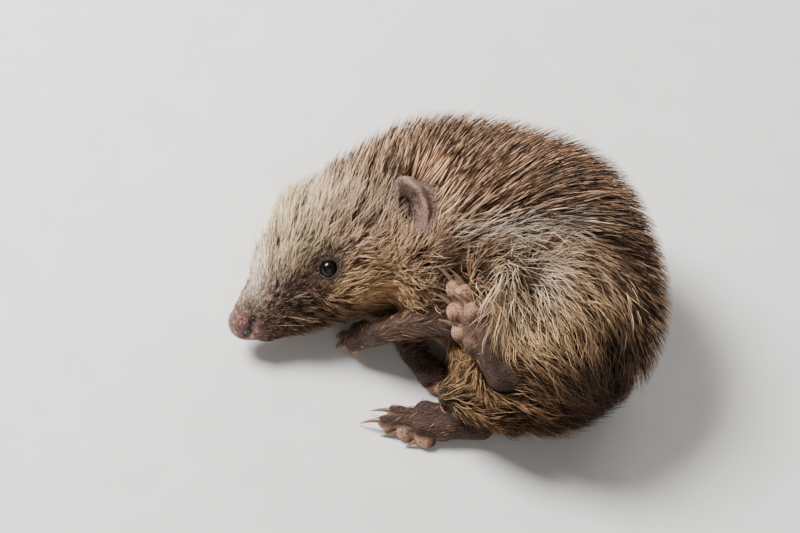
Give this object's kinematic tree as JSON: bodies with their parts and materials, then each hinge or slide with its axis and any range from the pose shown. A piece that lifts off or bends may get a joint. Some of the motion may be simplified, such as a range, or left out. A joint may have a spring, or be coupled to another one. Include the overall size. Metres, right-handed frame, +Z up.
{
  "type": "animal model",
  "caption": "Life-size still model of a hedgehog lying on its right side, half uncurled, with one hind foot raised.",
  "frame": {"origin": "centre of the bounding box at floor level", "axes": "nose to -X, back of the body to +Y, belly to -Y, +Z up from the floor"},
  "size_m": [0.1444, 0.1076, 0.0754],
  "materials": {
    "quills": "banded quills over short fur, brown with cream tips",
    "fur": "coarse pale brown belly and flank fur",
    "face": "short brown face fur, paler on the brow",
    "skin": "thinly haired greyish skin",
    "nose": "moist pebbled skin",
    "eye": "wet and dark",
    "claw": "smooth horn"
  },
  "bodies": {
    "root": {"back": "quills", "belly": "fur", "claw_fore_left_1": "claw", "claw_fore_left_2": "claw", "claw_fore_left_3": "claw", "claw_fore_left_4": "claw", "claw_fore_left_5": "claw", "claw_fore_right_1": "claw", "claw_fore_right_2": "claw", "claw_fore_right_3": "claw", "claw_fore_right_4": "claw", "claw_fore_right_5": "claw", "claw_hind_left_1": "claw", "claw_hind_left_2": "claw", "claw_hind_left_3": "claw", "claw_hind_left_4": "claw", "claw_hind_left_5": "claw", "claw_hind_right_1": "claw", "claw_hind_right_2": "claw", "claw_hind_right_3": "claw", "claw_hind_right_4": "claw", "claw_hind_right_5": "claw", "crown": "quills", "ear_left": "skin", "ear_right": "skin", "eye_left": "eye", "eye_right": "eye", "forearm_left": "skin", "forearm_right": "skin", "forefoot_left": "skin", "forefoot_right": "skin", "head": "face", "hindfoot_left": "skin", "hindfoot_right": "skin", "loin": "quills", "lower_jaw": "face", "neck": "quills", "nose": "nose", "rump": "quills", "shank_left": "skin", "shank_right": "skin", "shoulders": "quills", "snout": "face", "tail": "skin", "thigh_left": "fur", "thigh_right": "fur", "throat": "face", "upper_arm_left": "fur", "upper_arm_right": "fur"}
  },
  "joints": []
}
